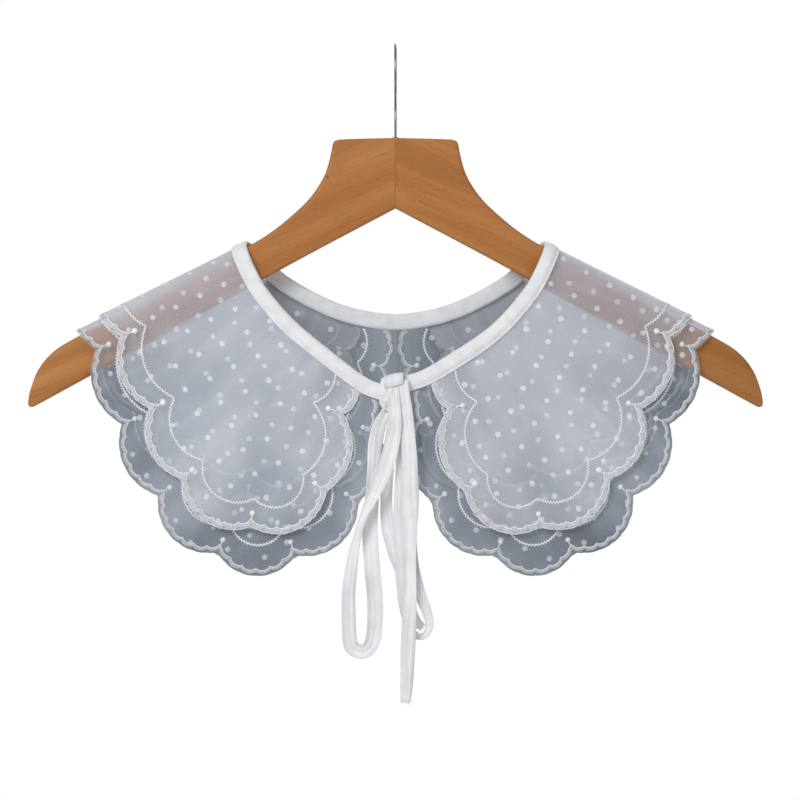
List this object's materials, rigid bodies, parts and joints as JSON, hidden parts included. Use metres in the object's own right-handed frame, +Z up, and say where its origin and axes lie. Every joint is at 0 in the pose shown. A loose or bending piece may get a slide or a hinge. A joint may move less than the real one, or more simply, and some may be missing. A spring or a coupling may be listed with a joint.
{
  "type": "false collar on a hanger",
  "caption": "Detachable two-tier sheer organza collar with embroidered scalloped edges and a tape bow at the front, hung on a wooden hanger with a wire hook.",
  "frame": {"origin": "inside top of the hook, where a rail or peg carries the hanger", "axes": "+Z up, -Y is the wearer's front with the bow, +X is the viewer's right and runs along the hanger's arms"},
  "size_m": [0.44, 0.0677, 0.3957],
  "materials": {
    "dotted_organza": "sheer white organza with woven dots and satin-stitched scallops",
    "bias_tape": "soft matt white bias tape",
    "varnished_wood": "satin varnish over plain wood",
    "plated_wire": "bright plated wire"
  },
  "bodies": {
    "root": {"lower_tier_left": "dotted_organza", "lower_tier_right": "dotted_organza", "upper_tier_left": "dotted_organza", "upper_tier_right": "dotted_organza", "neck_binding": "bias_tape", "tie_knot": "bias_tape", "tie_loop_left": "bias_tape", "tie_loop_right": "bias_tape", "tie_tail_long": "bias_tape", "tie_tail_short": "bias_tape", "hanger_arm_left": "varnished_wood", "hanger_arm_right": "varnished_wood", "hanger_hook": "plated_wire"}
  },
  "joints": []
}
